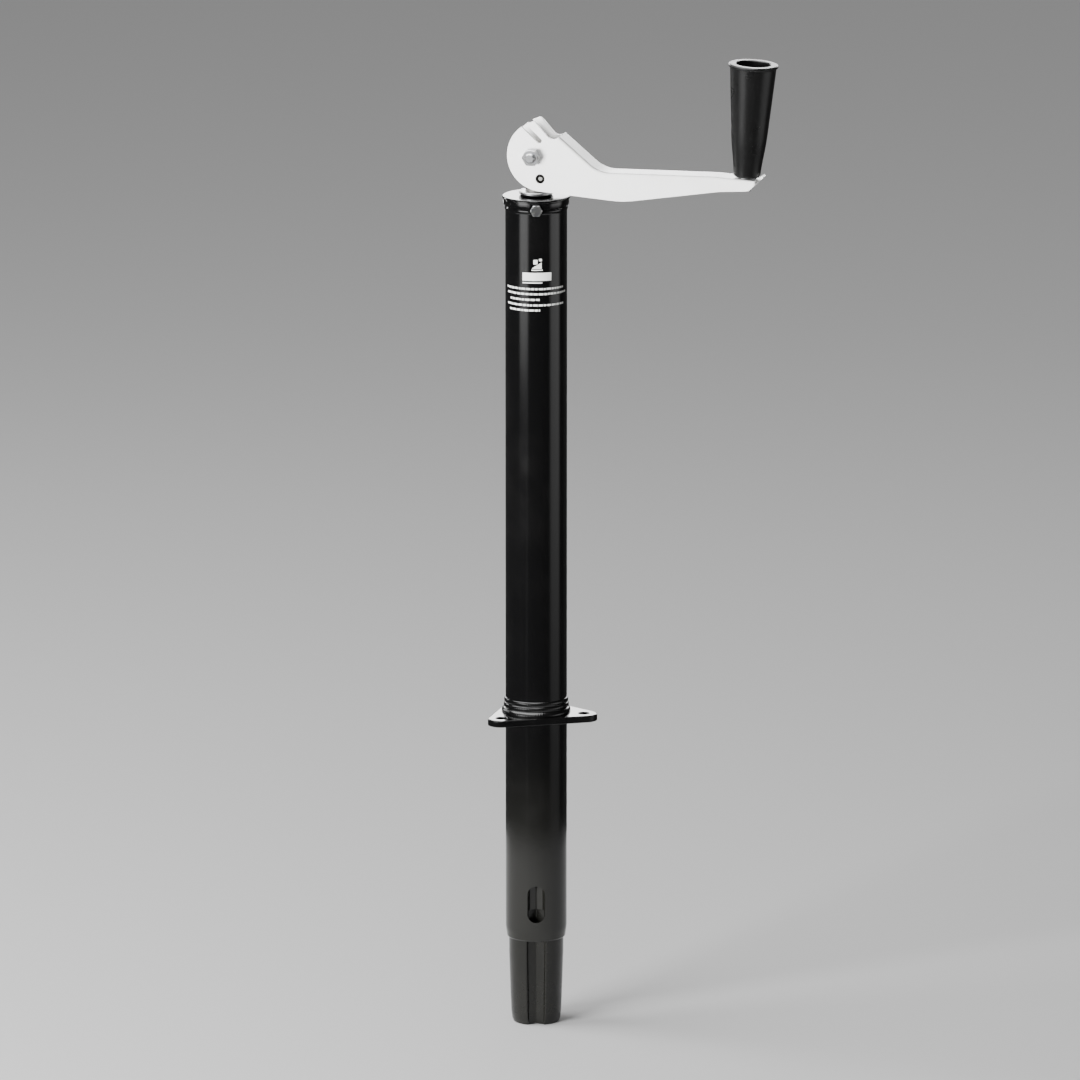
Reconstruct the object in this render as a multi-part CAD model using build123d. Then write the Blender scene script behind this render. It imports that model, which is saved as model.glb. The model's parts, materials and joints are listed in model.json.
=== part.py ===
"""Trailer tongue jack: a round, bolt-through, top-wind jack with a folding crank.

Frame, in millimetres: the origin is the centre of the mounting flange's underside, on the
tube's axis. +Z is up the tube and +X is the way the crank arm and one bolt of the flange
point. The ram is fully retracted and the crank stands in its working position.
"""

import os
from math import cos, radians, sin, sqrt, tan

from build123d import *

# ---- driving dimensions ------------------------------------------------------------------
INCH = 25.4

TUBE_R = 2.25 * INCH / 2  # outer tube, outside
TUBE_WALL = 2.8
TUBE_TOP_Z = 492.8
TUBE_BOTTOM_Z = -209.5
BAND_R = 30.3  # the tube's top end is swelled into a band under the cap,
BAND_HEIGHT = 5.8
GROOVE_HEIGHT = 1.0
BEAD_R = 29.3  # with a smaller bead below the band
BEAD_HEIGHT = 4.2
SWAGE_HEIGHT = 11.0  # the tube's lower end is drawn in towards the ram
SWAGE_END_R = 27.3
SWAGE_BORE_R = 25.75

RAM_R = 2.0 * INCH / 2
RAM_WALL = 2.5
RAM_TOP_Z = 462.0
RAM_BOTTOM_Z = -291.0
RAM_TAPER_Z = -225.0  # below this the ram is swaged smaller
RAM_TAPER = [  # (height, size against the full section) down the swaged end
    (RAM_TAPER_Z, 1.0),
    (-249.0, 0.967),
    (-268.0, 0.943),
    (-281.0, 0.92),
    (-288.0, 0.885),
    (RAM_BOTTOM_Z, 0.84),
]
END_PLATE_THICKNESS = 5.0
END_PLATE_SIZE = 0.82  # against the ram's bore

# the keyway: a channel with steep sides and a shallow V floor, rolled into the ram's whole length
KEYWAY_APEX_R = 17.6  # the bottom of the V, from the axis
KEYWAY_FLOOR_HALF_WIDTH = 7.5
KEYWAY_FLOOR_R = 21.2  # where the floor meets the sides
KEYWAY_MOUTH_HALF_WIDTH = 8.9
KEY_CLEARANCE = 0.5
KEY_THICKNESS = 1.8
KEY_DIRECTION = -75.0  # the key and the front cap screw face this way, about +Z from +X
KEY_TOP_Z = -156.0
KEY_TAB_END_Z = -179.5
KEY_SLOT_END_Z = -191.0
KEY_SLOT_HALF_WIDTH = 8.2
KEY_END_SLOPE = 55.0  # degrees, of the tongue's upper end against level

FLANGE_THICKNESS = 0.25 * INCH
FLANGE_HOLE_COUNT = 3
FLANGE_HOLE_SPACING = 3.125 * INCH  # hole to hole, on an equal-sided triangle
FLANGE_HOLE_R = 13 / 32 * INCH / 2
FLANGE_CORNER_R = 12.5

SHAFT_R = 10.0
SHAFT_BOTTOM_Z = 20.0
RUNNING_CLEARANCE = 0.08

PIVOT_Z = 533.6  # crank pivot bolt
SHEET = 3.0
FOLD_R = 2.6  # outside radius of the folds between the web and the sides
CHANNEL_WIDTH = 27.0
ARM_THROW = 200.5  # pivot to grip
GRIP_LEAN = 3.2  # degrees outwards, square to the bent end of the web

# heights of the parts stacked round the shaft's top
CAP_RIM_Z = 495.3
CAP_LIP_R = 31.3
CAP_BOSS_R = 15.0
CAP_BOSS_TOP_Z = 496.9
CAP_BOSS_BOTTOM_Z = 488.0
CAP_SKIRT_BOTTOM_Z = 474.0
CAP_SCREW_Z = 486.0
SHAFT_WASHER_R = 16.0
SHAFT_WASHER_THICKNESS = 2.6
BUSHING_R = 12.5
RACE_THICKNESS = 2.6
RACE_R = 17.8
BALL_R = 2.5
BALL_COUNT = 12
BALL_PITCH_R = 13.9
RACE_GAP = 3.6  # face to face, so that the balls sit in the races' grooves

# fasteners
GRIP_BOLT_R = 5 / 16 * INCH / 2
GRIP_NUT_ACROSS_FLATS = 0.5 * INCH
GRIP_NUT_HEIGHT = 6.6
PIVOT_BOLT_R = 3 / 8 * INCH / 2
PIVOT_ACROSS_FLATS = 9 / 16 * INCH
PIVOT_HEAD_HEIGHT = 6.0
PIVOT_NUT_HEIGHT = 8.3
PIVOT_BOLT_END = 3.2  # past the nut
CAP_SCREW_R = 3.0
CAP_SCREW_ACROSS_FLATS = 10.0
CAP_SCREW_HEAD = 4.0
CAP_SCREW_LENGTH = 7.0  # under the head
CAP_SCREW_SEAT_R = 6.2
STOP_PIN_R = 4.4
STOP_PIN_X = 7.3  # stop pin, from the pivot
STOP_PIN_Z = -20.6
STOP_PIN_RECESS = 0.7  # below the ears' faces
STOP_PIN_CHAMFER = 1.3
SPRING_PIN_R = 2.4

# fits
GAP = 0.05  # between pieces that are fastened together
THREAD_FIT = 0.02  # round a screw in its thread, or a pin in its hole

HALF_CHANNEL = CHANNEL_WIDTH / 2
TUBE_BORE_R = TUBE_R - TUBE_WALL


# ---- small helpers -----------------------------------------------------------------------
def ring(outer_r, inner_r, bottom_z, top_z):
    """A plain ring round the Z axis."""
    height = top_z - bottom_z
    section = Circle(outer_r) - Circle(inner_r)
    return Pos(0, 0, bottom_z) * extrude(section, height)


def rod(radius, bottom_z, top_z):
    """A plain rod on the Z axis."""
    return Pos(0, 0, bottom_z) * extrude(Circle(radius), top_z - bottom_z)


def turned(points):
    """A solid of revolution round Z from (radius, z) points."""
    section = Plane.XZ * make_face(Polyline(*points, close=True))
    return revolve(section, Axis.Z, 360)


def hexagon(across_flats, height):
    """A hexagon prism on the XY plane with its top corners chamfered."""
    corner_r = across_flats / sqrt(3)
    chamfer_height = (corner_r - across_flats / 2) * tan(radians(30))
    prism = extrude(RegularPolygon(corner_r, 6), height)
    flat_r = across_flats / 2 * 0.97
    limit = turned(
        [
            (0, 0),
            (corner_r, 0),
            (corner_r, height - 1.4 * chamfer_height),
            (flat_r, height),
            (0, height),
        ]
    )
    return prism & limit


def spring_pin(radius, length):
    """A slotted spring pin along Y, centred on the origin."""
    bore_r = radius * 0.55
    section = Circle(radius) - Circle(bore_r)
    section -= Pos(0, radius) * Rectangle(radius * 0.35, 2 * radius)
    return Rot(90, 0, 0) * extrude(section, length / 2, both=True)


def on_crank(solid):
    """Carries a piece from the crank's own frame, with the pivot at its origin, into place."""
    return Pos(0, 0, PIVOT_Z) * solid


def facing_key(solid):
    """Turns a piece made with its key on the -Y side round to the key's direction."""
    return Rot(0, 0, KEY_DIRECTION + 90) * solid


def side_cut(profile, width):
    """A profile drawn in the crank's X-Z plane, extruded equally to both sides."""
    return extrude(Plane.XZ * profile, width / 2, both=True)


def vertex_near(shape, x, y):
    """The vertex of a flat profile closest to (x, y)."""
    return min(shape.vertices(), key=lambda v: (v.X - x) ** 2 + (v.Y - y) ** 2)


# ---- keyway ------------------------------------------------------------------------------
KEYWAY_MOUTH_Y = sqrt(RAM_R**2 - KEYWAY_MOUTH_HALF_WIDTH**2)
KEYWAY_FAR_Y = RAM_R + 15  # well outside every tube


def keyway_area(shrink):
    """The keyway's cross-section, open towards -Y, drawn in by shrink on every side."""
    side_slope = (KEYWAY_MOUTH_HALF_WIDTH - KEYWAY_FLOOR_HALF_WIDTH) / (KEYWAY_MOUTH_Y - KEYWAY_FLOOR_R)
    far_half_width = KEYWAY_FLOOR_HALF_WIDTH + (KEYWAY_FAR_Y - KEYWAY_FLOOR_R) * side_slope
    area = make_face(
        Polyline(
            (0, -KEYWAY_APEX_R),
            (KEYWAY_FLOOR_HALF_WIDTH, -KEYWAY_FLOOR_R),
            (far_half_width, -KEYWAY_FAR_Y),
            (-far_half_width, -KEYWAY_FAR_Y),
            (-KEYWAY_FLOOR_HALF_WIDTH, -KEYWAY_FLOOR_R),
            close=True,
        )
    )
    return offset(area, -shrink, kind=Kind.INTERSECTION)


def key_prism(shrink, top_z, end_z):
    """A stretch of keyway section whose upper end slopes out to the tube's surface."""
    prism = Pos(0, 0, end_z) * extrude(keyway_area(shrink), top_z - end_z)
    above_slope = Rot(90 - KEY_END_SLOPE, 0, 0) * Pos(0, 0, 20) * Box(60, 60, 40)
    return prism - Pos(0, -TUBE_R, top_z) * above_slope


# ---- outer tube --------------------------------------------------------------------------
def key_slot():
    """The round-ended slot through the tube's wall that the tongue is pressed out of."""
    middle = (0, 0, (KEY_TOP_Z + KEY_SLOT_END_Z) / 2)
    outline = SlotOverall(KEY_TOP_Z - KEY_SLOT_END_Z, 2 * KEY_SLOT_HALF_WIDTH)
    return extrude(Plane(middle, x_dir=(0, 0, 1), z_dir=(0, -1, 0)) * outline, KEYWAY_FAR_Y)


def tube_section():
    """Half of the tube's section: its banded top end, its wall and its drawn-in lower end."""
    band_foot_z = TUBE_TOP_Z - BAND_HEIGHT
    bead_top_z = band_foot_z - GROOVE_HEIGHT
    band_top = (BAND_R - 0.3, TUBE_TOP_Z)
    band_foot = (BAND_R - 0.3, band_foot_z)
    bead_top = (TUBE_R + 0.3, bead_top_z)
    bead_foot = (TUBE_R, bead_top_z - BEAD_HEIGHT)
    band = ThreePointArc(band_top, (BAND_R, TUBE_TOP_Z - BAND_HEIGHT / 2), band_foot)
    bead = ThreePointArc(bead_top, (BEAD_R, bead_top_z - BEAD_HEIGHT * 0.45), bead_foot)
    rest = Polyline(
        bead_foot,
        (TUBE_R, TUBE_BOTTOM_Z + SWAGE_HEIGHT),
        (SWAGE_END_R, TUBE_BOTTOM_Z + 1),
        (SWAGE_END_R - 0.8, TUBE_BOTTOM_Z),
        (SWAGE_BORE_R, TUBE_BOTTOM_Z),
        (SWAGE_BORE_R, TUBE_BOTTOM_Z + 4),
        (TUBE_BORE_R, TUBE_BOTTOM_Z + SWAGE_HEIGHT),
        (TUBE_BORE_R, TUBE_TOP_Z),
        band_top,
    )
    return make_face([band, Line(band_foot, bead_top), bead, rest])


def outer_tube():
    body = revolve(Plane.XZ * tube_section(), Axis.Z, 360)
    # the key: a tongue pressed out of the wall, running in the ram's keyway
    tongue = key_prism(KEY_CLEARANCE, KEY_TOP_Z + KEY_THICKNESS, KEY_TAB_END_Z)
    tongue &= rod(TUBE_R, TUBE_BOTTOM_Z, TUBE_TOP_Z)
    pocket = key_prism(KEY_CLEARANCE + KEY_THICKNESS, KEY_TOP_Z, KEY_SLOT_END_Z)
    below_tongue = ring(TUBE_R + 1, TUBE_BORE_R - 1, KEY_SLOT_END_Z, KEY_TAB_END_Z)
    body += tongue
    body -= key_slot() & below_tongue
    body -= pocket & key_slot()
    body = facing_key(body)
    for angle in cap_screw_angles():
        body -= cap_screw_hole(angle, CAP_SCREW_R + 2 * GAP, 12)
        seat = Pos(TUBE_R + 5, 0, CAP_SCREW_Z) * Rot(0, 90, 0) * Cylinder(CAP_SCREW_SEAT_R, 10)
        body -= Rot(0, 0, angle) * seat
    return body


# ---- mounting flange ---------------------------------------------------------------------
FLANGE_PITCH_R = FLANGE_HOLE_SPACING / sqrt(3)


def mounting_flange():
    step = 360 / FLANGE_HOLE_COUNT
    corners = [Rot(0, 0, step * i) * Pos(FLANGE_PITCH_R, 0) for i in range(FLANGE_HOLE_COUNT)]
    outline = make_hull([e for c in corners for e in (c * Circle(FLANGE_CORNER_R)).edges()])
    plate = extrude(outline, FLANGE_THICKNESS)
    plate = chamfer(plate.faces().sort_by(Axis.Z)[-1].outer_wire().edges(), 0.8)
    plate -= Cylinder(TUBE_R + GAP, 60)
    for corner in corners:
        plate -= corner * Cylinder(FLANGE_HOLE_R, 60)
    return plate


WELD_TOES = [(32.2, FLANGE_THICKNESS), (30.3, 10.8), (29.8, 15.4), (28.9, 20.2)]
WELD_CROWN = 0.7


def flange_weld():
    """Three weld passes, laid one above the other where the tube stands on the flange."""
    inner = TUBE_R + GAP
    beads = []
    for low, high in zip(WELD_TOES, WELD_TOES[1:]):
        crown = ((low[0] + high[0]) / 2 + WELD_CROWN, (low[1] + high[1]) / 2)
        beads.append(ThreePointArc(low, crown, high))
    back = Polyline(WELD_TOES[-1], (inner, WELD_TOES[-1][1]), (inner, FLANGE_THICKNESS), WELD_TOES[0])
    return revolve(Plane.XZ * make_face([*beads, back]), Axis.Z, 360)


# ---- top cap and its screws --------------------------------------------------------------
def cap_screw_angles():
    return [KEY_DIRECTION + 120 * i for i in range(3)]


def cap_screw_hole(angle, radius, length):
    """A radial hole through the tube's surface at the cap screws' height."""
    return Rot(0, 0, angle) * Pos(TUBE_R, 0, CAP_SCREW_Z) * Rot(0, 90, 0) * Cylinder(radius, length)


def top_cap():
    skirt_r = TUBE_BORE_R - GAP
    cap = turned(
        [
            (BUSHING_R, CAP_BOSS_TOP_Z),
            (CAP_BOSS_R - 1, CAP_BOSS_TOP_Z),
            (CAP_BOSS_R, CAP_BOSS_TOP_Z - 1),
            (CAP_BOSS_R + 1.2, CAP_RIM_Z),
            (CAP_LIP_R - 1.3, CAP_RIM_Z),
            (CAP_LIP_R - 0.4, CAP_RIM_Z - 0.4),
            (CAP_LIP_R, CAP_RIM_Z - 1.3),
            (CAP_LIP_R, TUBE_TOP_Z + 0.4),
            (CAP_LIP_R - 0.4, TUBE_TOP_Z),
            (skirt_r, TUBE_TOP_Z),
            (skirt_r, CAP_SKIRT_BOTTOM_Z),
            (skirt_r - 4, CAP_SKIRT_BOTTOM_Z),
            (skirt_r - 4, CAP_BOSS_BOTTOM_Z + 2),
            (RACE_R + 1, CAP_BOSS_BOTTOM_Z),
            (BUSHING_R, CAP_BOSS_BOTTOM_Z),
        ]
    )
    for angle in cap_screw_angles():
        cap -= cap_screw_hole(angle, CAP_SCREW_R + THREAD_FIT, 24)
    return cap


def cap_bushing():
    """The plain bush that steadies the shaft in the cap."""
    return ring(BUSHING_R - 0.02, SHAFT_R + RUNNING_CLEARANCE, CAP_BOSS_BOTTOM_Z, CAP_BOSS_TOP_Z)


def cap_screw():
    """A hex screw along +X, its head's underside on the tube's surface and two flats level."""
    head = Rot(0, 90, 0) * Rot(0, 0, 30) * hexagon(CAP_SCREW_ACROSS_FLATS, CAP_SCREW_HEAD)
    shank = Pos(-CAP_SCREW_LENGTH / 2, 0, 0) * Rot(0, 90, 0) * Cylinder(CAP_SCREW_R, CAP_SCREW_LENGTH)
    return Pos(TUBE_R + GAP, 0, CAP_SCREW_Z) * (head + shank)


def cap_screws():
    return Compound([Rot(0, 0, a) * cap_screw() for a in cap_screw_angles()])


# ---- thrust bearing ----------------------------------------------------------------------
UPPER_RACE_FACE_Z = CAP_BOSS_BOTTOM_Z - RACE_THICKNESS
BALL_Z = UPPER_RACE_FACE_Z - RACE_GAP / 2
LOWER_RACE_FACE_Z = UPPER_RACE_FACE_Z - RACE_GAP
COLLAR_TOP_Z = LOWER_RACE_FACE_Z - RACE_THICKNESS


def bearing_race(face_z, back_z):
    low, high = sorted((face_z, back_z))
    race = ring(RACE_R, SHAFT_R + RUNNING_CLEARANCE, low, high)
    return race - Pos(0, 0, BALL_Z) * Torus(BALL_PITCH_R, BALL_R + GAP)


def ball_places():
    step = 360 / BALL_COUNT
    return [Rot(0, 0, step * i) * Pos(BALL_PITCH_R, 0, BALL_Z) for i in range(BALL_COUNT)]


def bearing_balls():
    return Compound([place * Sphere(BALL_R) for place in ball_places()])


def bearing_cage():
    cage = ring(BALL_PITCH_R + BALL_R + 0.9, SHAFT_R + 0.8, BALL_Z - 0.7, BALL_Z + 0.7)
    for place in ball_places():
        cage -= place * Cylinder(BALL_R + GAP, 8)
    return cage


# ---- screw and what is fixed to it -------------------------------------------------------
COLLAR_HEIGHT = 9.0
COLLAR_BOTTOM_Z = COLLAR_TOP_Z - COLLAR_HEIGHT
STOP_WASHER_TOP_Z = SHAFT_BOTTOM_Z + 12
STOP_WASHER_R = 14.0


def cross_hole(z, radius, direction):
    """A hole through the shaft at height z; direction is its angle about Z."""
    return Rot(0, 0, direction) * Pos(0, 0, z) * Rot(0, 90, 0) * Cylinder(radius, 80)


def lead_screw():
    """The shaft: threaded below the collar, plain above it, with the crank's bolt hole at the top."""
    head_top = PIVOT_Z + 11
    shaft = turned(
        [
            (0, SHAFT_BOTTOM_Z),
            (SHAFT_R - 1.5, SHAFT_BOTTOM_Z),
            (SHAFT_R, SHAFT_BOTTOM_Z + 1.5),
            (SHAFT_R, head_top - 1.5),
            (SHAFT_R - 1.5, head_top),
            (0, head_top),
        ]
    )
    shaft -= cross_hole(PIVOT_Z, PIVOT_BOLT_R + 3 * GAP, 90)
    shaft -= cross_hole((COLLAR_TOP_Z + COLLAR_BOTTOM_Z) / 2, SPRING_PIN_R, 0)
    shaft -= cross_hole(SHAFT_BOTTOM_Z + 6, SPRING_PIN_R, 0)
    # the notch that the stop pin seats in follows the pin's path as the crank folds up
    pin_reach = sqrt(STOP_PIN_X**2 + STOP_PIN_Z**2)
    pin_angle = -Vector(1, 0, 0).get_angle(Vector(STOP_PIN_X, STOP_PIN_Z, 0))
    path = CenterArc((0, 0), pin_reach, pin_angle, 34)
    shaft -= on_crank(side_cut(SlotArc(path, 2 * (STOP_PIN_R + 2 * GAP)), 2 * SHAFT_R + 4))
    return shaft


def thrust_collar():
    collar = ring(BALL_PITCH_R + 1.5, SHAFT_R + 0.02, COLLAR_BOTTOM_Z, COLLAR_TOP_Z)
    return collar - cross_hole((COLLAR_TOP_Z + COLLAR_BOTTOM_Z) / 2, SPRING_PIN_R, 0)


def collar_pin():
    pin = Rot(0, 0, 90) * spring_pin(SPRING_PIN_R, 2 * (BALL_PITCH_R + 1))
    return Pos(0, 0, (COLLAR_TOP_Z + COLLAR_BOTTOM_Z) / 2) * pin


def shaft_washer():
    top = CAP_BOSS_TOP_Z + GAP + SHAFT_WASHER_THICKNESS
    washer = ring(SHAFT_WASHER_R, SHAFT_R + 0.15, CAP_BOSS_TOP_Z + GAP, top)
    return chamfer(washer.faces().sort_by(Axis.Z)[-1].outer_wire().edges(), 0.5)


def screw_stop_washer():
    return ring(STOP_WASHER_R, SHAFT_R + 2 * GAP, STOP_WASHER_TOP_Z - 3, STOP_WASHER_TOP_Z)


def screw_stop_pin():
    pin = Rot(0, 0, 90) * spring_pin(SPRING_PIN_R, 27)
    return Pos(0, 0, SHAFT_BOTTOM_Z + 6) * pin


# ---- ram ---------------------------------------------------------------------------------
NUT_HEIGHT = 30.0


def ram_outline():
    """The ram's outside, with the rolled edges of its keyway."""
    outline = Circle(RAM_R) - keyway_area(0)
    for side in (-1, 1):
        outline = fillet(vertex_near(outline, side * KEYWAY_MOUTH_HALF_WIDTH, -KEYWAY_MOUTH_Y), 1.5)
        outline = fillet(vertex_near(outline, side * KEYWAY_FLOOR_HALF_WIDTH, -KEYWAY_FLOOR_R), 0.9)
    return fillet(vertex_near(outline, 0, -KEYWAY_APEX_R), 1.2)


def ram_bore():
    """The ram's inside, one wall thickness in from its outline."""
    return Circle(RAM_R - RAM_WALL) - keyway_area(-RAM_WALL)


def ram_solid(profile):
    straight = Pos(0, 0, RAM_TAPER_Z) * extrude(profile, RAM_TOP_Z - RAM_TAPER_Z)
    swaged = [Pos(0, 0, z) * scale(profile, by=size) for z, size in RAM_TAPER]
    return straight + loft(swaged, ruled=True)


def ram_tube():
    return facing_key(ram_solid(ram_outline()) - ram_solid(ram_bore()))


def drive_nut():
    """The nut, let into the ram's top end. It can't turn, because it is cut to the ram's bore."""
    plug = Pos(0, 0, RAM_TOP_Z - NUT_HEIGHT) * extrude(offset(ram_bore(), -0.1), NUT_HEIGHT)
    return facing_key(plug - Cylinder(SHAFT_R + RUNNING_CLEARANCE, 1200))


def ram_end_plate():
    """The plate that closes the ram's foot."""
    outline = scale(ram_bore(), by=END_PLATE_SIZE)
    return facing_key(Pos(0, 0, RAM_BOTTOM_Z) * extrude(outline, END_PLATE_THICKNESS))


# ---- crank arm ---------------------------------------------------------------------------
# the arm's side view, in X and Z from the pivot
HUB_CENTRE = (9.0, 0.7)
HUB_R = 33.3
HUB_LOW = (6.7, -32.5)  # where the lower edge leaves the hub's round
HUB_HIGH = (1.9, 33.24)  # where the ear's straight top edge leaves it
EAR_EDGE_END = (13.4, 20.3)
RELIEF_BOTTOM = (19.2, 17.2)
WEB_START = (24.9, 19.8)
WEB_BEND = (63.1, -12.1)
WEB_LAST_BEND = (172.0, -10.6)
ARM_END_X = 211.5
ARM_NOSE = (212.3, -15.2)
ARM_DEEPEST = (86.0, -38.4)
ARM_LOW_BEND = (177.0, -24.2)
ARM_LOW_END = (205.5, -22.4)
WEB_BEND_R = 30.0

WEB_END_DROP = (ARM_END_X - WEB_LAST_BEND[0]) * tan(radians(GRIP_LEAN))
WEB_END = (ARM_END_X, WEB_LAST_BEND[1] - WEB_END_DROP)
GRIP_SEAT_Z = WEB_LAST_BEND[1] - (ARM_THROW - WEB_LAST_BEND[0]) * tan(radians(GRIP_LEAN))


def arm_outline():
    hub = ThreePointArc(HUB_LOW, (HUB_CENTRE[0] - HUB_R, HUB_CENTRE[1]), HUB_HIGH)
    ear = Line(HUB_HIGH, EAR_EDGE_END)
    relief = ThreePointArc(EAR_EDGE_END, RELIEF_BOTTOM, WEB_START)
    rest = Polyline(
        WEB_START,
        WEB_BEND,
        WEB_LAST_BEND,
        WEB_END,
        ARM_NOSE,
        ARM_LOW_END,
        ARM_LOW_BEND,
        ARM_DEEPEST,
        HUB_LOW,
    )
    outline = make_face([hub, ear, relief, rest])
    roundings = [
        (HUB_HIGH, 3.0),
        (WEB_BEND, WEB_BEND_R),
        (WEB_LAST_BEND, 60.0),
        (ARM_LOW_END, 8.0),
        (ARM_LOW_BEND, 60.0),
        (ARM_DEEPEST, 90.0),
    ]
    for place, radius in roundings:
        outline = fillet(vertex_near(outline, *place), radius)
    return outline


def offset_down(point, before, after):
    """A corner of the web's top line, moved to the sheet's underside."""
    normals = []
    for a, b in ((before, point), (point, after)):
        run, rise = b[0] - a[0], b[1] - a[1]
        length = sqrt(run**2 + rise**2)
        normals.append((rise / length, -run / length))
    nx = sum(n[0] for n in normals)
    nz = sum(n[1] for n in normals)
    k = 2 * SHEET / (nx**2 + nz**2)
    return (point[0] + k * nx, point[1] + k * nz)


def channel_hollow():
    """The space between the arm's two sides, below the web and open at both ends."""
    far = 60
    beyond = (ARM_END_X + far, WEB_END[1] - far * tan(radians(GRIP_LEAN)))
    top = [WEB_START, WEB_BEND, WEB_LAST_BEND, WEB_END, beyond]
    under = [offset_down(top[i], top[i - 1], top[i + 1]) for i in range(1, len(top) - 1)]
    slope = (WEB_BEND[1] - WEB_START[1]) / (WEB_BEND[0] - WEB_START[0])
    web_start_under = (WEB_START[0], under[0][1] + (WEB_START[0] - under[0][0]) * slope)
    hollow = make_face(
        Polyline(
            (-far, far),
            (WEB_START[0], far),
            web_start_under,
            *under,
            (ARM_END_X + far, under[-1][1]),
            (ARM_END_X + far, -far),
            (-far, -far),
            close=True,
        )
    )
    return fillet(vertex_near(hollow, *under[0]), WEB_BEND_R + SHEET)


EAR_SLOT_END = (6.4, 15.2)  # centre of the ear slot's round inner end
EAR_SLOT_WIDTH = 4.8
EAR_SLOT_ANGLE = 137.5
EAR_SLOT_LENGTH = 30.0
TIP_LIP_WIDTH = 10.0
TIP_LIP_SHEET = 2.3


def tip_lip():
    """The small tongue at the middle of the web's end, curled upwards."""
    start_x = ARM_END_X - 4.0
    start_z = WEB_END[1] - SHEET / 2
    middle = (ARM_END_X + 1.2, start_z + 1.4)
    tip = (ARM_END_X + 5.2, start_z + 4.8)
    lift = ThreePointArc((start_x, start_z), middle, tip)
    return side_cut(trace(lift, TIP_LIP_SHEET), TIP_LIP_WIDTH)


def crank_arm():
    arm = side_cut(arm_outline(), CHANNEL_WIDTH)
    arm -= side_cut(channel_hollow(), CHANNEL_WIDTH - 2 * SHEET)
    folds = [
        e
        for e in arm.edges()
        if abs(abs(e.center().Y) - HALF_CHANNEL) < 0.01
        and abs(e.bounding_box().size.Y) < 0.01
        and e.center().X > WEB_START[0]
        and e.center().Z > web_height(e.center().X) - 1.2
    ]
    arm = fillet(folds, FOLD_R)
    arm += tip_lip()
    half = EAR_SLOT_LENGTH / 2
    slot_centre = Pos(
        EAR_SLOT_END[0] + half * cos(radians(EAR_SLOT_ANGLE)),
        EAR_SLOT_END[1] + half * sin(radians(EAR_SLOT_ANGLE)),
    )
    slot = slot_centre * Rot(0, 0, EAR_SLOT_ANGLE) * SlotCenterToCenter(EAR_SLOT_LENGTH, EAR_SLOT_WIDTH)
    arm -= side_cut(slot, CHANNEL_WIDTH + 4)
    arm -= side_cut(Circle(PIVOT_BOLT_R + GAP), CHANNEL_WIDTH + 4)
    arm -= side_cut(Pos(STOP_PIN_X, STOP_PIN_Z) * Circle(STOP_PIN_R + THREAD_FIT), CHANNEL_WIDTH + 4)
    arm -= at_grip(Cylinder(GRIP_BOLT_R + 2 * GAP, 20))
    return on_crank(arm)


def web_height(x):
    """The height of the web's top line at x, from the pivot."""
    points = (WEB_START, WEB_BEND, WEB_LAST_BEND, WEB_END)
    for a, b in zip(points, points[1:]):
        if x <= b[0]:
            break
    return a[1] + (b[1] - a[1]) * (x - a[0]) / (b[0] - a[0])


def at_grip(solid):
    """Carries a piece from the grip's own frame (Z up its spindle, seat on the web) to the arm."""
    return Pos(ARM_THROW, 0, GRIP_SEAT_Z) * Rot(0, GRIP_LEAN, 0) * solid


def pivot_bolt():
    """The crank's hinge bolt: its head is behind, and its threaded end shows through the nut."""
    start = HALF_CHANNEL + GAP
    shank_length = 2 * start + PIVOT_NUT_HEIGHT + PIVOT_BOLT_END
    shank = extrude(Circle(PIVOT_BOLT_R), shank_length)
    shank = chamfer(shank.edges().sort_by(Axis.Z)[-1], 1.2)
    head = Rot(180, 0, 0) * hexagon(PIVOT_ACROSS_FLATS, PIVOT_HEAD_HEIGHT)
    return on_crank(Pos(0, start, 0) * Rot(90, 0, 0) * (shank + head))


def pivot_nut():
    nut = hexagon(PIVOT_ACROSS_FLATS, PIVOT_NUT_HEIGHT) - Cylinder(PIVOT_BOLT_R + THREAD_FIT, 40)
    return on_crank(Pos(0, -HALF_CHANNEL - GAP, 0) * Rot(90, 0, 0) * nut)


def stop_pin():
    """The pin that carries the arm: it seats in the shaft's notch, its ends a little below the ears."""
    pin = extrude(Circle(STOP_PIN_R), HALF_CHANNEL - STOP_PIN_RECESS, both=True)
    pin = chamfer(pin.edges().filter_by(GeomType.CIRCLE), STOP_PIN_CHAMFER)
    return on_crank(Pos(STOP_PIN_X, 0, STOP_PIN_Z) * Rot(90, 0, 0) * pin)


# ---- grip --------------------------------------------------------------------------------
GRIP_HEIGHT = 105.5
GRIP_BASE_R = 12.3
GRIP_LIP_R = 23.0
GRIP_LIP_FOOT_R = 21.4
GRIP_LIP_HEIGHT = 3.2
GRIP_LIP_ROUNDING = 1.3
GRIP_FLOOR = 14.0
GRIP_GAP = 0.4
GRIP_FLOOR_BORE_R = 5.2
GRIP_TOP_BORE_R = 16.0
GRIP_BOTTOM_BORE_R = 9.6
GRIP_WASHER_R = 8.5
GRIP_WASHER_THICKNESS = 1.0
GRIP_BOLT_HEAD_ACROSS_FLATS = 14.0
GRIP_BOLT_HEAD = 5.0
GRIP_BOLT_END = 9.5  # below the web
SPINDLE_R = 5.0


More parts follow.
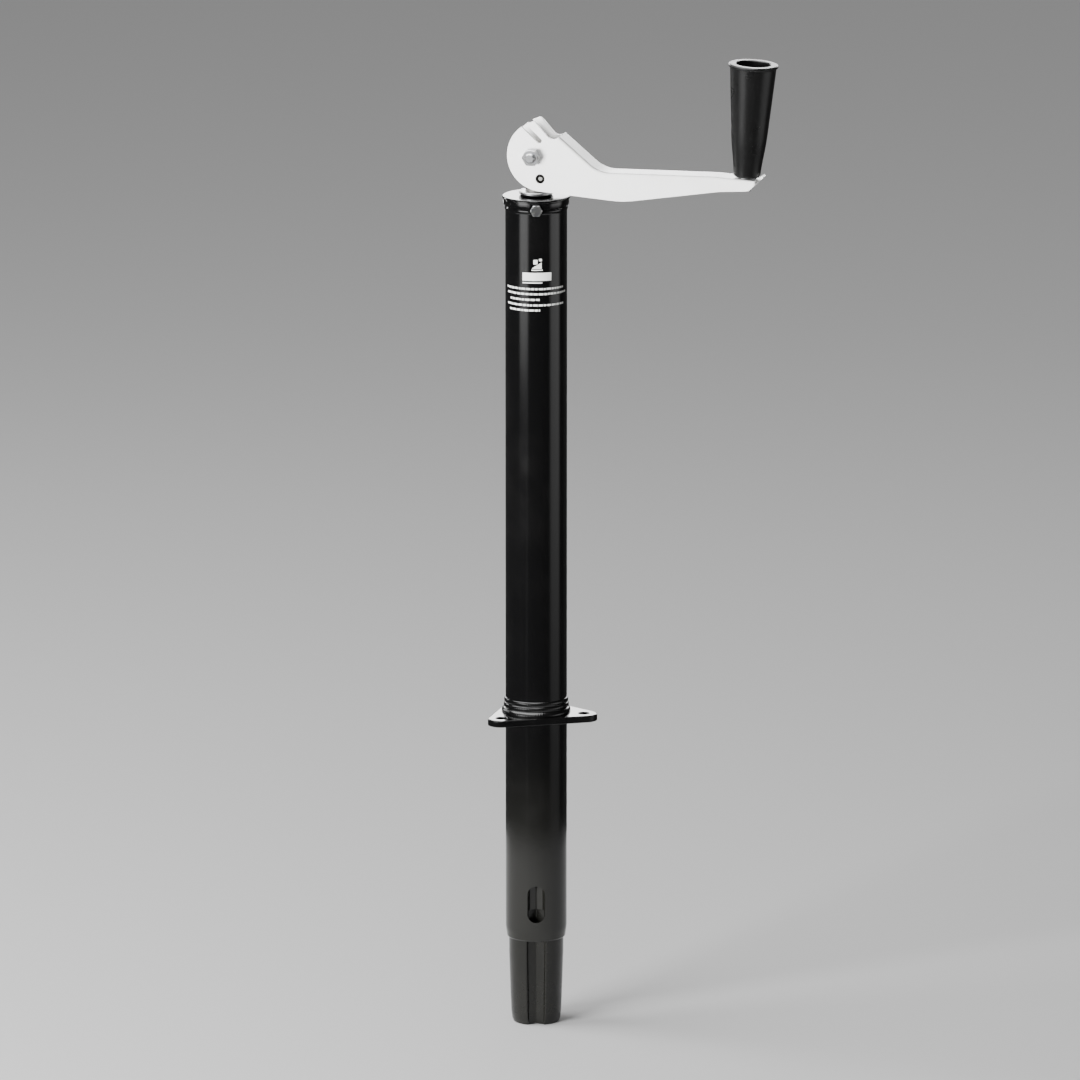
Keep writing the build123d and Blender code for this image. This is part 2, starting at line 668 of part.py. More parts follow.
def grip():
    """The hollow grip: its outside swells quickly from the base and then tapers out to a round lip."""
    base_edge = (GRIP_BASE_R, 1.2)
    lip_foot = (GRIP_LIP_FOOT_R, GRIP_HEIGHT - GRIP_LIP_HEIGHT)
    lip_crest = (GRIP_LIP_R, GRIP_HEIGHT - GRIP_LIP_HEIGHT / 2)
    lip_top = (GRIP_LIP_R - GRIP_LIP_ROUNDING, GRIP_HEIGHT)
    outside = Spline(base_edge, (13.0, 9.0), (15.7, 29.0), (17.7, 52.0), (19.5, 76.0), lip_foot)
    lip = ThreePointArc(lip_foot, lip_crest, lip_top)
    inside = Polyline(
        lip_top,
        (GRIP_TOP_BORE_R + 0.8, GRIP_HEIGHT),
        (GRIP_TOP_BORE_R, GRIP_HEIGHT - 0.8),
        (GRIP_BOTTOM_BORE_R, GRIP_FLOOR),
        (GRIP_FLOOR_BORE_R, GRIP_FLOOR),
        (GRIP_FLOOR_BORE_R, 0),
        (GRIP_BASE_R - 1.0, 0),
        base_edge,
    )
    body = revolve(Plane.XZ * make_face([outside, lip, inside]), Axis.Z, 360)
    return on_crank(at_grip(Pos(0, 0, GRIP_WASHER_THICKNESS + GRIP_GAP) * body))


def grip_washer():
    return on_crank(at_grip(ring(GRIP_WASHER_R, GRIP_BOLT_R + 4 * GAP, GAP, GRIP_WASHER_THICKNESS)))


def grip_bolt():
    """The shoulder bolt that the grip turns on: its head is down inside the grip's bore."""
    shoulder_bottom = GRIP_WASHER_THICKNESS + GAP
    shoulder_top = GRIP_WASHER_THICKNESS + 2 * GRIP_GAP + GRIP_FLOOR
    bolt = rod(SPINDLE_R, shoulder_bottom, shoulder_top)
    bolt += rod(GRIP_BOLT_R, -SHEET - GRIP_BOLT_END, shoulder_bottom)
    bolt += Pos(0, 0, shoulder_top) * hexagon(GRIP_BOLT_HEAD_ACROSS_FLATS, GRIP_BOLT_HEAD)
    return on_crank(at_grip(bolt))


def grip_nut():
    nut = hexagon(GRIP_NUT_ACROSS_FLATS, GRIP_NUT_HEIGHT) - Cylinder(GRIP_BOLT_R + THREAD_FIT, 40)
    return on_crank(at_grip(Pos(0, 0, -SHEET - GAP) * Rot(180, 0, 0) * nut))


# ---- write one STEP for each sub-part ----------------------------------------------------
PARTS = {
    "outer_tube": outer_tube,
    "mounting_flange": mounting_flange,
    "flange_weld": flange_weld,
    "top_cap": top_cap,
    "cap_screws": cap_screws,
    "cap_bushing": cap_bushing,
    "bearing_upper_race": lambda: bearing_race(UPPER_RACE_FACE_Z, CAP_BOSS_BOTTOM_Z),
    "bearing_lower_race": lambda: bearing_race(LOWER_RACE_FACE_Z, COLLAR_TOP_Z),
    "bearing_balls": bearing_balls,
    "bearing_cage": bearing_cage,
    "lead_screw": lead_screw,
    "thrust_collar": thrust_collar,
    "collar_pin": collar_pin,
    "shaft_washer": shaft_washer,
    "screw_stop_washer": screw_stop_washer,
    "screw_stop_pin": screw_stop_pin,
    "ram_tube": ram_tube,
    "drive_nut": drive_nut,
    "ram_end_plate": ram_end_plate,
    "crank_arm": crank_arm,
    "pivot_bolt": pivot_bolt,
    "pivot_nut": pivot_nut,
    "stop_pin": stop_pin,
    "grip": grip,
    "grip_washer": grip_washer,
    "grip_bolt": grip_bolt,
    "grip_nut": grip_nut,
}


def main():
    os.makedirs("parts", exist_ok=True)
    for name, make in PARTS.items():
        export_step(make(), f"parts/{name}.step")


main()
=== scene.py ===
import json
import math
import random

import bmesh
import bpy
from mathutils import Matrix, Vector


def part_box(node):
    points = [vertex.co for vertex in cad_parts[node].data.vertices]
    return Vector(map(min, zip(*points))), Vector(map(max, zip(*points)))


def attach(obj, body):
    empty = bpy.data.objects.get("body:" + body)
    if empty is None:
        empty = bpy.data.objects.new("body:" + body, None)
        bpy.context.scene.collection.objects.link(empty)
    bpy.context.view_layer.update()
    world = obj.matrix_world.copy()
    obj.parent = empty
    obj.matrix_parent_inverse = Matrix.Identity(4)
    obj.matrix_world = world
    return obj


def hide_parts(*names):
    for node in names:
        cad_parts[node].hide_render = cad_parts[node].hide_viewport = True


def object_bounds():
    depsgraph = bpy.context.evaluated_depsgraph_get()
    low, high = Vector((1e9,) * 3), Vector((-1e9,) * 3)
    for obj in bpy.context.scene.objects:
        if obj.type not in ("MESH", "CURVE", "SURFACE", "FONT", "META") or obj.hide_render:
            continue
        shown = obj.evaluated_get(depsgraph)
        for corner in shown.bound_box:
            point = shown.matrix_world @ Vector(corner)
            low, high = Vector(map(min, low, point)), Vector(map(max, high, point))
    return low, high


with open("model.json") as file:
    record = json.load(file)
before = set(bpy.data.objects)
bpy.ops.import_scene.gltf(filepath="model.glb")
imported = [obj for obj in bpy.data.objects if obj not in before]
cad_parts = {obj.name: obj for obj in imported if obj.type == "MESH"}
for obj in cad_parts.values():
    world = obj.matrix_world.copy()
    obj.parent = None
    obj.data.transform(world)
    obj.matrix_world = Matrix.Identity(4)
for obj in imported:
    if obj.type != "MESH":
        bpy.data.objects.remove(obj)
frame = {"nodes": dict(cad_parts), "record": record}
CAD_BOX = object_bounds()
random.seed(11)

MM = 0.001
KEY_DIRECTION = math.radians(-75)  # the key and the front cap screw face this way


# ---- node materials ----------------------------------------------------------------------
class Shader:
    """A Principled material that is built up a layer at a time."""

    def __init__(self, name, colour, roughness, metallic=0.0, specular=0.5, coat=0.0):
        self.material = bpy.data.materials.new(name)
        self.material.use_nodes = True
        self.tree = self.material.node_tree
        self.nodes = self.tree.nodes
        self.bsdf = self.nodes["Principled BSDF"]
        self.bsdf.inputs["Metallic"].default_value = metallic
        self.bsdf.inputs["Specular IOR Level"].default_value = specular
        self.bsdf.inputs["Coat Weight"].default_value = coat
        self.bsdf.inputs["Coat Roughness"].default_value = 0.06
        self.colour = self.rgb(colour)
        self.roughness = None
        self.base_roughness = roughness
        self.coords = self.nodes.new("ShaderNodeTexCoord").outputs["Object"]
        self.normal = None

    def rgb(self, colour):
        node = self.nodes.new("ShaderNodeRGB")
        node.outputs[0].default_value = (*colour, 1)
        return node.outputs[0]

    def link(self, a, b):
        self.tree.links.new(a, b)

    def math(self, operation, a, b=0.0):
        node = self.nodes.new("ShaderNodeMath")
        node.operation = operation
        for socket, value in zip(node.inputs, (a, b)):
            if hasattr(value, "is_output"):
                self.link(value, socket)
            else:
                socket.default_value = value
        return node.outputs[0]

    def noise(self, size_mm, detail=4.0, stretch=(1, 1, 1), distortion=0.0):
        """Noise with blobs of about this size."""
        mapping = self.nodes.new("ShaderNodeMapping")
        mapping.inputs["Scale"].default_value = [1000 / size_mm / s for s in stretch]
        self.link(self.coords, mapping.inputs["Vector"])
        node = self.nodes.new("ShaderNodeTexNoise")
        node.inputs["Scale"].default_value = 1.0
        node.inputs["Detail"].default_value = detail
        node.inputs["Distortion"].default_value = distortion
        self.link(mapping.outputs[0], node.inputs["Vector"])
        return node.outputs["Fac"]

    def height(self):
        """Metres up the part's own axis."""
        node = self.nodes.new("ShaderNodeSeparateXYZ")
        self.link(self.coords, node.inputs[0])
        return node.outputs["Z"]

    def radius_about(self, x, z):
        """Metres from an axis that runs from front to back."""
        mapping = self.nodes.new("ShaderNodeMapping")
        mapping.inputs["Location"].default_value = (-x, 0, -z)
        mapping.inputs["Scale"].default_value = (1, 0, 1)
        self.link(self.coords, mapping.inputs["Vector"])
        node = self.nodes.new("ShaderNodeVectorMath")
        node.operation = "LENGTH"
        self.link(mapping.outputs[0], node.inputs[0])
        return node.outputs["Value"]

    def ramp(self, value, low, high, low_out=0.0, high_out=1.0):
        node = self.nodes.new("ShaderNodeMapRange")
        node.interpolation_type = "SMOOTHSTEP"
        for name, number in zip(("From Min", "From Max", "To Min", "To Max"), (low, high, low_out, high_out)):
            node.inputs[name].default_value = number
        self.link(value, node.inputs["Value"])
        return node.outputs["Result"]

    def tint(self, mask, colour):
        """Blends a colour in where the mask is 1."""
        node = self.nodes.new("ShaderNodeMix")
        node.data_type = "RGBA"
        self.link(mask, node.inputs["Factor"])
        self.link(self.colour, node.inputs["A"])
        target = node.inputs["B"]
        if hasattr(colour, "is_output"):
            self.link(colour, target)
        else:
            target.default_value = (*colour, 1)
        self.colour = node.outputs["Result"]
        return self

    def roughen(self, mask, amount):
        base = self.roughness if self.roughness is not None else self.base_roughness
        self.roughness = self.math("ADD", base, self.math("MULTIPLY", mask, amount))
        return self

    def bump(self, height, distance_mm, strength=1.0):
        node = self.nodes.new("ShaderNodeBump")
        node.inputs["Distance"].default_value = distance_mm * MM
        node.inputs["Strength"].default_value = strength
        self.link(height, node.inputs["Height"])
        if self.normal is not None:
            self.link(self.normal, node.inputs["Normal"])
        self.normal = node.outputs["Normal"]
        return self

    def done(self):
        self.link(self.colour, self.bsdf.inputs["Base Color"])
        if self.roughness is None:
            self.bsdf.inputs["Roughness"].default_value = self.base_roughness
        else:
            self.link(self.roughness, self.bsdf.inputs["Roughness"])
        if self.normal is not None:
            self.link(self.normal, self.bsdf.inputs["Normal"])
        return self.material


def enamel(name, colour, dust_colour, dust, roughness=0.12, painted_veil=None, specular=0.5):
    """Sprayed gloss paint: orange peel, a few dust nibs, handling haze and faint scuffs. A painted
    veil of light, if given, lightens the paint down the tube from one height to another."""
    s = Shader(name, colour, roughness, specular=specular)
    if painted_veil:
        veil_colour, top, bottom = painted_veil
        height = s.math("ADD", s.height(), s.math("MULTIPLY", s.noise(60, 4), 0.03))
        # painted light: the paint turns lighter towards the bottom, a veil that stands in for the
        # surroundings' light on the lower tube
        s.tint(s.ramp(height, bottom, top, 1.0, 0.0), veil_colour)
    haze = s.ramp(s.noise(38, 5), 0.42, 0.74)
    specks = s.ramp(s.noise(0.9, 2), 0.69, 0.76)
    scuffs = s.ramp(s.noise(5, 6, stretch=(1, 1, 9), distortion=0.6), 0.66, 0.8)
    s.tint(s.math("MULTIPLY", haze, dust), dust_colour)
    s.tint(s.math("MULTIPLY", specks, 0.12), dust_colour)
    s.roughen(haze, 0.06).roughen(scuffs, 0.05).roughen(specks, 0.15)
    s.bump(s.noise(2.6, 2), 0.012)
    s.bump(specks, 0.008)
    return s.done()


def plated(name, colour, tarnish, roughness=0.26):
    """Zinc-plated steel: fine grain, faint yellow passivation and dull spots."""
    s = Shader(name, colour, roughness, metallic=1.0)
    clouds = s.ramp(s.noise(3.5, 5), 0.4, 0.75)
    s.tint(s.math("MULTIPLY", clouds, 0.5), tarnish)
    s.roughen(clouds, 0.18)
    s.roughen(s.noise(0.25, 2), 0.08)
    s.bump(s.noise(0.3, 2), 0.006)
    return s.done()


def pin_with_painted_shade(name, colour, ring_shade, centre, bright_mm, roughness=0.38):
    """A pin seen end on: bright in the middle of its ends, with painted shade in a dark ring round the edge.
    """
    s = Shader(name, colour, roughness, metallic=1.0)
    radius = s.math("ADD", s.radius_about(centre.x, centre.z), s.math("MULTIPLY", s.noise(1.5, 3), 0.6 * MM))
    # painted shade: a dark ring round the edge of each end
    edge = s.ramp(radius, (bright_mm + 0.15) * MM, (bright_mm + 0.5) * MM)
    s.tint(edge, ring_shade)
    s.roughen(edge, 0.15).roughen(s.noise(0.25, 2), 0.08)
    s.bump(s.noise(0.3, 2), 0.006)
    return s.done()


def machined(name, colour, grime, roughness=0.34, across=(1, 1, 0.08)):
    """Turned or ground steel: fine rings across the axis, with dark grease in patches."""
    s = Shader(name, colour, roughness, metallic=1.0)
    rings = s.noise(2.0, 3, stretch=across)
    grease = s.ramp(s.noise(9, 5), 0.45, 0.7)
    s.tint(s.math("MULTIPLY", grease, 0.55), grime)
    s.roughen(rings, 0.1).roughen(grease, 0.12)
    s.bump(rings, 0.01)
    return s.done()


def moulded(name, colour, roughness=0.4):
    """Satin moulded plastic: fine spark-eroded grain and a faint sheen where hands polish it."""
    s = Shader(name, colour, roughness, specular=0.45)
    polish = s.ramp(s.noise(24, 4), 0.45, 0.7)
    dust = s.ramp(s.noise(1.1, 3), 0.64, 0.78)
    s.tint(s.math("MULTIPLY", dust, 0.16), (0.2, 0.2, 0.2))
    s.roughen(polish, -0.07).roughen(dust, 0.12)
    s.bump(s.noise(0.5, 3), 0.018)
    return s.done()


# Painted light: a lighter veil over the lower tube's paint, standing in for the surroundings' light on it.
PAINTED_VEIL_COLOUR = (0.0058, 0.0058, 0.0048)
PAINTED_VEIL_TOP = 0.02  # metres; the painted veil of light starts here and is full at its bottom
PAINTED_VEIL_BOTTOM = -0.16
PAINTED_VEIL = (PAINTED_VEIL_COLOUR, PAINTED_VEIL_TOP, PAINTED_VEIL_BOTTOM)
BLACK_PAINT = enamel("black_paint_enamel", (0.002, 0.002, 0.0021), (0.02, 0.019, 0.018), 0.07, painted_veil=PAINTED_VEIL)
RAM_PAINT = enamel(
    "ram_paint_enamel", (0.0058, 0.0058, 0.005), (0.02, 0.019, 0.016), 0.15, 0.24, specular=0.38
)
WHITE_PAINT = enamel("white_paint_enamel", (0.85, 0.85, 0.84), (0.66, 0.64, 0.6), 0.22, 0.16)
ZINC = plated("zinc_plate", (0.56, 0.57, 0.585), (0.4, 0.385, 0.32), 0.26)
PIN_STEEL = plated("pin_steel_bright", (0.62, 0.62, 0.61), (0.4, 0.37, 0.32), 0.38)
SCREW_STEEL = machined("screw_steel", (0.45, 0.44, 0.42), (0.07, 0.055, 0.04))
BEARING_STEEL = machined("bearing_steel", (0.7, 0.71, 0.73), (0.3, 0.27, 0.2), 0.16)
PRESSED_STEEL = machined("pressed_steel", (0.45, 0.45, 0.44), (0.2, 0.17, 0.13), 0.38, (1, 1, 1))
BRONZE = machined("sintered_bronze", (0.5, 0.35, 0.17), (0.12, 0.08, 0.04), 0.45, (1, 1, 1))
BLACK_PLASTIC = moulded("grip_plastic", (0.0045, 0.0045, 0.0045), 0.33)
PIN_CENTRE = (Vector(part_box("stop_pin")[0]) + Vector(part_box("stop_pin")[1])) / 2
# The stop pin's ends get painted shade in a dark ring round their edge.
PIN_END = pin_with_painted_shade("pin_end_painted_shade", (0.75, 0.75, 0.73), (0.03, 0.028, 0.026), PIN_CENTRE, 1.8)
LABEL_INK = enamel("label_ink", (0.72, 0.72, 0.7), (0.3, 0.3, 0.29), 0.4, 0.45)

SLOT_MATERIALS = {
    "black_paint": BLACK_PAINT,
    "ram_paint": RAM_PAINT,
    "white_paint": WHITE_PAINT,
    "zinc": ZINC,
    "pin_steel": PIN_STEEL,
    "screw_steel": SCREW_STEEL,
    "bearing_steel": BEARING_STEEL,
    "pressed_steel": PRESSED_STEEL,
    "bronze": BRONZE,
    "black_plastic": BLACK_PLASTIC,
}
NODE_SLOTS = {p["node"]: p["material_slot"] for p in frame["record"]["subparts"]}
NODE_BODIES = {n: b for b, ns in frame["record"]["behaviour"]["bodies"].items() for n in ns}

for node, obj in frame["nodes"].items():
    obj.data.materials.clear()
    obj.data.materials.append(SLOT_MATERIALS[NODE_SLOTS[node]])


# ---- making pieces -----------------------------------------------------------------------
BEVEL_ANGLE = 28  # degrees
FLAT_ANGLE = 0.4  # degrees; faces that turn by less are one flat face
WELD_DISTANCE = 2e-6  # metres


def piece(name, mesh, node, modifiers=()):
    """Adds a mesh that stands for a CAD node."""
    obj = bpy.data.objects.new(name, mesh)
    bpy.context.scene.collection.objects.link(obj)
    if not mesh.materials:
        mesh.materials.append(SLOT_MATERIALS[NODE_SLOTS[node]])
    for kind, settings in modifiers:
        modifier = obj.modifiers.new(kind.title(), kind)
        for key, value in settings.items():
            setattr(modifier, key, value)
    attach(obj, NODE_BODIES[node])
    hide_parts(node)
    return obj


def bevelled(width_mm):
    """Rounds each edge that turns by more than BEVEL_ANGLE, and keeps the flat faces flat."""
    bevel = {
        "width": width_mm * MM,
        "segments": 3,
        "limit_method": "ANGLE",
        "angle_limit": math.radians(BEVEL_ANGLE),
        "harden_normals": False,
    }
    return [("BEVEL", bevel), ("WEIGHTED_NORMAL", {"keep_sharp": True, "weight": 80})]


def cleaned_copy(node):
    """The CAD node's shape as a fresh welded mesh with whole flat faces, ready for bevels."""
    bm = bmesh.new()
    bm.from_mesh(frame["nodes"][node].data)
    bmesh.ops.remove_doubles(bm, verts=bm.verts, dist=WELD_DISTANCE)
    bmesh.ops.dissolve_limit(
        bm, angle_limit=math.radians(FLAT_ANGLE), verts=bm.verts, edges=bm.edges, delimit={"SHARP"}
    )
    for face in bm.faces:
        face.smooth = True
    mesh = bpy.data.meshes.new(node + "_mesh")
    bm.to_mesh(mesh)
    bm.free()
    return mesh


def rounded_node(node, width_mm):
    return piece(node + "_piece", cleaned_copy(node), node, bevelled(width_mm))


def lathe(name, profile_mm, segments, ripple):
    """A mesh of revolution from a closed (radius, z) profile in millimetres, with each point moved
    by ripple(radius, z, angle)."""
    bm = bmesh.new()
    rows = []
    for i in range(segments):
        angle = 2 * math.pi * i / segments
        row = []
        for profile_r, profile_z in profile_mm:
            r, z = ripple(profile_r, profile_z, angle)
            row.append(bm.verts.new(Vector((r * math.cos(angle), r * math.sin(angle), z)) * MM))
        rows.append(row)
    count = len(profile_mm)
    for i in range(segments):
        a, b = rows[i], rows[(i + 1) % segments]
        for j in range(count):
            k = (j + 1) % count
            bm.faces.new((a[j], b[j], b[k], a[k]))
    bmesh.ops.recalc_face_normals(bm, faces=bm.faces)
    for face in bm.faces:
        face.smooth = True
    mesh = bpy.data.meshes.new(name)
    bm.to_mesh(mesh)
    bm.free()
    return mesh


EDGE_ROUNDING_MM = {
    "outer_tube": 0.45,
    "mounting_flange": 0.7,
    "top_cap": 0.45,
    "cap_screws": 0.28,
    "shaft_washer": 0.3,
    "ram_tube": 0.6,
    "crank_arm": 0.5,
    "pivot_nut": 0.3,
    "pivot_bolt": 0.25,
    "stop_pin": 0.15,
    "grip": 0.4,
}
rounded = {node: rounded_node(node, width_mm) for node, width_mm in EDGE_ROUNDING_MM.items()}
# the stop pin takes the material with painted shade round its ends
rounded["stop_pin"].data.materials[0] = PIN_END


# ---- weld ripples ------------------------------------------------------------------------
TUBE_R = 28.575  # 2 1/4 in tube
WELD_POINTS_ROUND = 504
PUDDLES_ROUND = 84
WELD_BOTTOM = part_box("flange_weld")[0][2] / MM
WELD_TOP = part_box("flange_weld")[1][2] / MM
WELD_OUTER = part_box("flange_weld")[1][0] / MM
WELD_INNER = TUBE_R + 0.06
WELD_TOES = [WELD_OUTER, WELD_OUTER - 2.3, WELD_OUTER - 2.8, TUBE_R + 0.4]  # from the flange up
WELD_CROWN = 0.75  # how far each pass stands out between its toes
RIPPLE_INSET = 0.16  # the ripples lie this far inside the profile on average
PUDDLE_DEPTH = 0.1
WANDER_DEPTH = 0.09


def weld_profile(points=7):
    """Stacked rounded passes, narrowing upwards, closed down the tube's wall."""
    height = (WELD_TOP - WELD_BOTTOM) / (len(WELD_TOES) - 1)
    outline = []
    for i, (toe, next_toe) in enumerate(zip(WELD_TOES, WELD_TOES[1:])):
        for j in range(points):
            t = j / (points - 1)
            r = toe + (next_toe - toe) * t + WELD_CROWN * math.sin(math.pi * t)
            outline.append((r, WELD_BOTTOM + height * (i + t)))
    return outline + [(WELD_INNER, WELD_TOP), (WELD_INNER, WELD_BOTTOM)]


def weld_ripple(r, z, angle):
    """The puddle marks that run round each pass, and a slow wander of its width."""
    if r < TUBE_R + 0.1:
        return r, z
    depth = min(1.0, (r - TUBE_R) / 2)
    level = (z - WELD_BOTTOM) / (WELD_TOP - WELD_BOTTOM)
    puddles = math.sin(angle * PUDDLES_ROUND + 5 * math.sin(level * 9.4))
    wander = math.sin(angle * 5 + level * 7) + 0.6 * math.sin(angle * 11 - level * 4)
    inset = RIPPLE_INSET + PUDDLE_DEPTH * puddles + WANDER_DEPTH * wander
    return max(TUBE_R + 0.12, r - depth * inset), z


piece(
    "flange_weld_beads",
    lathe("flange_weld_beads", weld_profile(), WELD_POINTS_ROUND, weld_ripple),
    "flange_weld",
)


# ---- printed label -----------------------------------------------------------------------
PRINT_CLEARANCE = 0.015  # the sizes of the print are in millimetres
PRINT_THICKNESS = 0.06
PRINT_STEP = 1.2  # the print follows the tube's curve in steps about this long


def print_on_tube(name, rectangles):
    """White print round the tube's front: (left, right, bottom, top) patches in millimetres, with
    left and right measured along the surface from the line the key faces."""
    bm = bmesh.new()
    inner_r = TUBE_R + PRINT_CLEARANCE
    for left, right, bottom, top in rectangles:
        steps = max(2, int((right - left) / PRINT_STEP) + 1)
        columns = []
        for i in range(steps + 1):
            angle = KEY_DIRECTION + (left + (right - left) * i / steps) / TUBE_R
            corners = []
            for r in (inner_r, inner_r + PRINT_THICKNESS):
                for z in (bottom, top):
                    corners.append(bm.verts.new(Vector((r * math.cos(angle), r * math.sin(angle), z)) * MM))
            columns.append(corners)
        for a, b in zip(columns, columns[1:]):
            bm.faces.new((a[2], b[2], b[3], a[3]))
            bm.faces.new((a[0], a[1], b[1], b[0]))
            bm.faces.new((a[1], a[3], b[3], b[1]))
            bm.faces.new((a[0], b[0], b[2], a[2]))
        for end in (columns[0], columns[-1]):
            bm.faces.new((end[0], end[2], end[3], end[1]))
    bmesh.ops.recalc_face_normals(bm, faces=bm.faces)
    mesh = bpy.data.meshes.new(name)
    bm.to_mesh(mesh)
    bm.free()
    mesh.materials.append(LABEL_INK)
    obj = bpy.data.objects.new(name, mesh)
    bpy.context.scene.collection.objects.link(obj)
    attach(obj, "housing")
    return obj


def dashes(left, right, middle, height, seed):
    """A line of small blocks with gaps, where a line of print would be."""
    generator = random.Random(seed)
    x = left
    blocks = []
    while x < right - 1.0:
        width = min(generator.uniform(1.6, 4.6), right - x)
        blocks.append((x, x + width, middle - height / 2, middle + height / 2))
        x += width + generator.uniform(0.7, 1.0)
    return blocks


def load_mark(middle, bottom):
    """A generic mark: a block on a slope, above a short ground line."""
    parts = [(middle - 5.2, middle + 5.2, bottom, bottom + 0.9)]
    for step in range(9):
        parts.append((middle - 4.6 + step, middle - 3.7 + step, bottom + 1.8, bottom + 2.6 + 0.62 * step))
    parts.append((middle - 3.4, middle + 0.4, bottom + 6.0, bottom + 10.2))
    parts.append((middle + 1.8, middle + 4.4, bottom + 9.0, bottom + 11.2))
    return parts


LABEL_LINES = [  # left, right, height of the middle, seed
    (-33.0, 30.0, 412.1, 1),
    (-32.0, 34.0, 407.3, 2),
    (-27.5, 4.5, 402.0, 3),
    (-32.0, 30.0, 396.8, 4),
    (-28.5, 3.5, 392.0, 5),
]
LABEL_BARS = [(-13.0, 14.5, 419.8, 427.4), (-13.0, 5.5, 417.4, 418.4)]
DASH_HEIGHT = 1.75
label = load_mark(0.8, 429.4) + LABEL_BARS
for left, right, middle, seed in LABEL_LINES:
    label += dashes(left, right, middle, DASH_HEIGHT, seed)
print_on_tube("front_print", label)


# ---- floor, light and camera -------------------------------------------------------------
FLOOR_GAP = 0.0005
FLOOR_CENTRE = Vector((0, 0, CAD_BOX[0][2] - FLOOR_GAP))
NEAR_FLOOR_R = 0.75  # the part of the floor that the jack's foot mirrors
FAR_FLOOR_R = 14


def disc(name, inner_r, outer_r, segments=96):
    """A flat round floor, or a ring of it where inner_r isn't 0."""
    bm = bmesh.new()
    inner = []
    outer = []
    for i in range(segments):
        angle = 2 * math.pi * i / segments
        direction = Vector((math.cos(angle), math.sin(angle), 0))
        outer.append(bm.verts.new(FLOOR_CENTRE + direction * outer_r))
        if inner_r:
            inner.append(bm.verts.new(FLOOR_CENTRE + direction * inner_r))
    if inner_r:
        for i in range(segments):
            k = (i + 1) % segments
            bm.faces.new((inner[i], outer[i], outer[k], inner[k]))
    else:
        bm.faces.new(outer)
    mesh = bpy.data.meshes.new(name)
    bm.to_mesh(mesh)
    bm.free()
    obj = bpy.data.objects.new(name, mesh)
    bpy.context.scene.collection.objects.link(obj)
    return obj


floor_shader = Shader("floor_paper", (0.68, 0.68, 0.68), 0.9, specular=0.1)
floor_shader.tint(floor_shader.math("MULTIPLY", floor_shader.noise(400, 3), 0.06), (0.63, 0.63, 0.64))
floor_material = floor_shader.done()
near_floor = disc("floor_near", 0, NEAR_FLOOR_R)
far_floor = disc("floor_far", NEAR_FLOOR_R, FAR_FLOOR_R)
for floor in (near_floor, far_floor):
    floor.data.materials.append(floor_material)
far_floor.visible_glossy = False
far_floor.visible_shadow = False

WORLD_STRENGTH = 0.3
WORLD_STRENGTH_IN_GLOSS = 0.06
world = bpy.data.worlds.new("studio")
bpy.context.scene.world = world
world.use_nodes = True
background = world.node_tree.nodes["Background"]
background.inputs["Color"].default_value = (1, 1, 1, 1)
light_path = world.node_tree.nodes.new("ShaderNodeLightPath")
strength = world.node_tree.nodes.new("ShaderNodeMapRange")
strength.inputs["To Min"].default_value = WORLD_STRENGTH
strength.inputs["To Max"].default_value = WORLD_STRENGTH_IN_GLOSS
world.node_tree.links.new(light_path.outputs["Is Glossy Ray"], strength.inputs["Value"])
world.node_tree.links.new(strength.outputs["Result"], background.inputs["Strength"])

CAMERA_AZIMUTH = 15.0
CAMERA_ELEVATION = 12.5
CAMERA_DISTANCE = 12.54
CAMERA_LENS_MM = 450
CAMERA_SENSOR_MM = 36
CAMERA_REACH = 100
LOOK_AT_HEIGHT = 0.1687
LOOK_AT_RIGHT = 0.0035  # to the right of the tube's axis


def seen_from(azimuth, elevation):
    """A direction; azimuth is degrees to the right of the camera, seen from above."""
    a = math.radians(CAMERA_AZIMUTH + azimuth)
    e = math.radians(elevation)
    return Vector((math.sin(a) * math.cos(e), -math.cos(a) * math.cos(e), math.sin(e)))


def softbox(name, azimuth, elevation, distance, size, radiance, aim=(0, 0, 0.2), gloss_only=False, fade=None):
    """A rectangular light. fade gives its strength at its bottom and top edges, against radiance,
    and softens its sides."""
    direction = seen_from(azimuth, elevation)
    data = bpy.data.lights.new(name, "AREA")
    data.shape = "RECTANGLE"
    data.size, data.size_y = size
    data.energy = radiance * size[0] * size[1] * math.pi
    obj = bpy.data.objects.new(name, data)
    obj.location = Vector(aim) + direction * distance
    obj.rotation_euler = (-direction).to_track_quat("-Z", "Y").to_euler()
    obj.visible_diffuse = not gloss_only
    bpy.context.scene.collection.objects.link(obj)
    if fade:
        shade_light(data, *fade)
    return obj


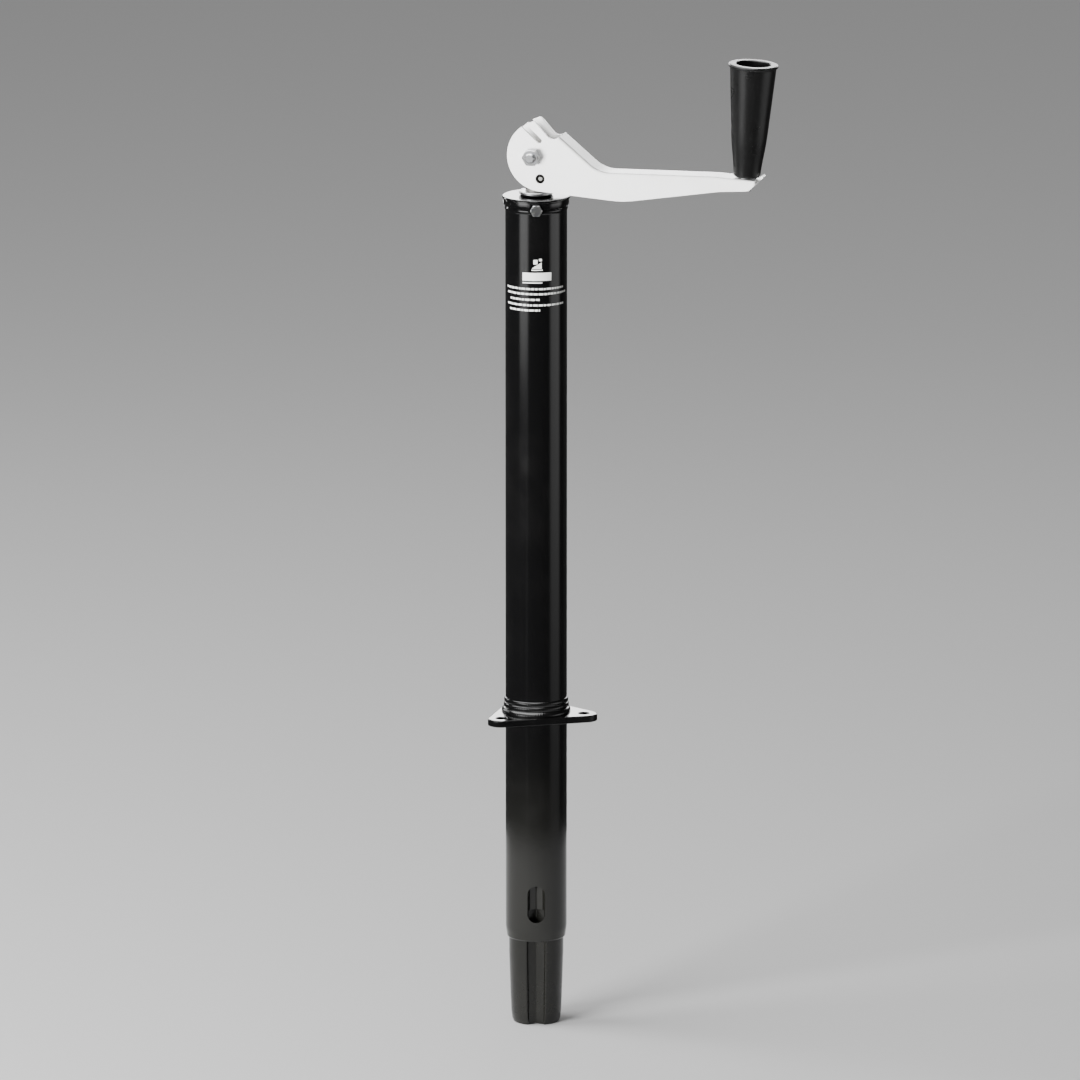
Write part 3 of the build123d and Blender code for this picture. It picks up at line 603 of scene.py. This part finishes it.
def shade_light(data, bottom, top):
    """Fades a light out towards its sides, and from one strength to another up its height."""
    data.use_nodes = True
    nodes = data.node_tree.nodes
    links = data.node_tree.links
    place = nodes.new("ShaderNodeSeparateXYZ")
    links.new(nodes.new("ShaderNodeNewGeometry").outputs["Parametric"], place.inputs[0])

    def step(socket, low, high, low_out, high_out):
        node = nodes.new("ShaderNodeMapRange")
        node.interpolation_type = "SMOOTHSTEP"
        for key, number in zip(("From Min", "From Max", "To Min", "To Max"), (low, high, low_out, high_out)):
            node.inputs[key].default_value = number
        links.new(socket, node.inputs["Value"])
        return node.outputs["Result"]

    factors = [
        step(place.outputs["X"], 0.0, 0.3, 0.0, 1.0),
        step(place.outputs["X"], 0.7, 1.0, 1.0, 0.0),
        step(place.outputs["Y"], 0.0, 1.0, bottom, top),
    ]
    product = factors[0]
    for factor in factors[1:]:
        node = nodes.new("ShaderNodeMath")
        node.operation = "MULTIPLY"
        links.new(product, node.inputs[0])
        links.new(factor, node.inputs[1])
        product = node.outputs[0]
    links.new(product, nodes["Emission"].inputs["Strength"])


# Upright surfaces mirror what lies below the horizon, so most of these boxes hang low: they are
# seen in the gloss and light nothing else.
softbox("left_window", -48, 0, 2.2, (1.9, 1.1), 5.0, aim=(0, 0, 0.45), gloss_only=True, fade=(0.5, 1.6))
softbox("left_glow", -36, 0, 2.6, (0.4, 2.4), 0.12, aim=(0, 0, -0.3), gloss_only=True, fade=(1, 1))
softbox("right_window", 75, 0, 2.6, (2.9, 1.5), 1.6, aim=(0, 0, -0.2), gloss_only=True, fade=(0.05, 1.3))
softbox("sky", -30, 68, 2.6, (2.4, 2.4), 8.0, aim=(0, 0, 0.4), gloss_only=True)
back_sky = softbox("back_sky", 180, 11, 3.0, (3.4, 1.1), 8.5, aim=(0, 0, 0.5), gloss_only=True)
back_sky.visible_camera = False
softbox("grip_rim", -128, 4, 2.2, (0.3, 0.6), 9.0, aim=(0.2, 0, 0.45), gloss_only=True)

# These light the whole jack. The key isn't mirrored, so that the metal keeps its contrast.
key = softbox("key", -44, -3, 3.4, (1.6, 0.9), 92.0, aim=(0.05, 0, 0.45))
key.visible_glossy = False
softbox("upper_left", -95, 48, 3.0, (1.8, 1.8), 8.0, aim=(0, 0, 0.3))
softbox("front_fill", -8, 24, 4.0, (1.6, 1.2), 1.6)

camera_data = bpy.data.cameras.new("camera")
camera_data.lens = CAMERA_LENS_MM
camera_data.sensor_width = CAMERA_SENSOR_MM
camera_data.clip_end = CAMERA_REACH
camera = bpy.data.objects.new("camera", camera_data)
bpy.context.scene.collection.objects.link(camera)
look_from = seen_from(0, CAMERA_ELEVATION)
look_at = Vector((0, 0, LOOK_AT_HEIGHT)) + seen_from(90, 0) * LOOK_AT_RIGHT
camera.location = look_at + look_from * CAMERA_DISTANCE
camera.rotation_euler = (-look_from).to_track_quat("-Z", "Y").to_euler()
bpy.context.scene.camera = camera
